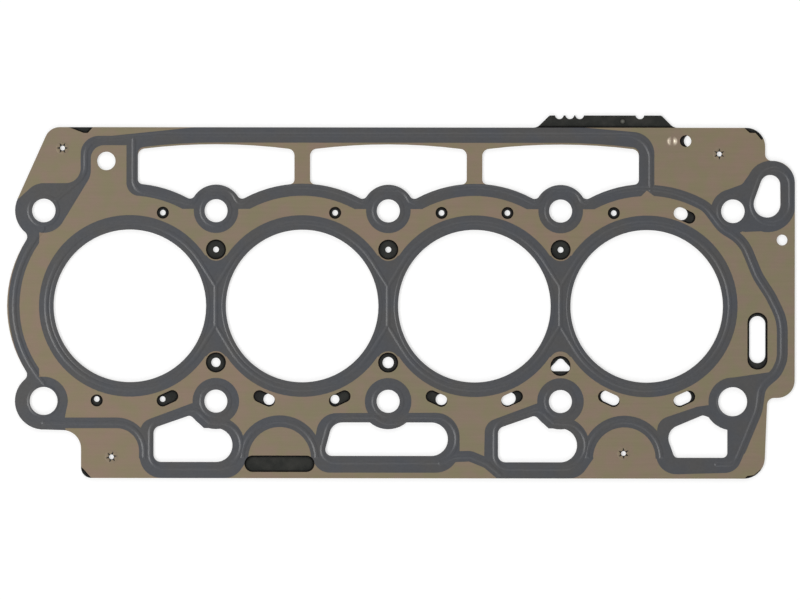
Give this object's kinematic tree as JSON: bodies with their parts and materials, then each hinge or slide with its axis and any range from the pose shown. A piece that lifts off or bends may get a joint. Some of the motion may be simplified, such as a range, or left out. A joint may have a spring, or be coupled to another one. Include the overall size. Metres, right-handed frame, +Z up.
{
  "type": "cylinder head gasket",
  "caption": "Flat multi-layer steel gasket for an in-line engine's cylinder head, with beaded sheets, printed seals, port windows and an ident tab.",
  "frame": {"origin": "middle of the line of cylinder centres, on the plane that the gasket lies on", "axes": "+X along the engine, +Y towards the edge with the ident tab, +Z up, out of the top sheet"},
  "size_m": [0.392, 0.1807, 0.0019],
  "materials": {
    "coated_sheet": "satin olive-brown coating on thin steel",
    "printed_seal": "matt grey printed elastomer",
    "black_spacer": "black coating on steel",
    "stopper_steel": "bare rolled steel",
    "rivet_steel": "satin olive-brown coating on thin steel"
  },
  "bodies": {
    "root": {"lower_bore_seal_print": "printed_seal", "lower_port_seal_print": "printed_seal", "lower_active_sheet": "coated_sheet", "spacer_sheet": "black_spacer", "upper_active_sheet": "coated_sheet", "upper_bore_seal_print": "printed_seal", "upper_port_seal_print": "printed_seal", "stopper_ring_1": "stopper_steel", "stopper_ring_2": "stopper_steel", "stopper_ring_3": "stopper_steel", "stopper_ring_4": "stopper_steel", "hollow_rivet_1": "rivet_steel", "hollow_rivet_2": "rivet_steel", "hollow_rivet_3": "rivet_steel", "hollow_rivet_4": "rivet_steel"}
  },
  "joints": []
}
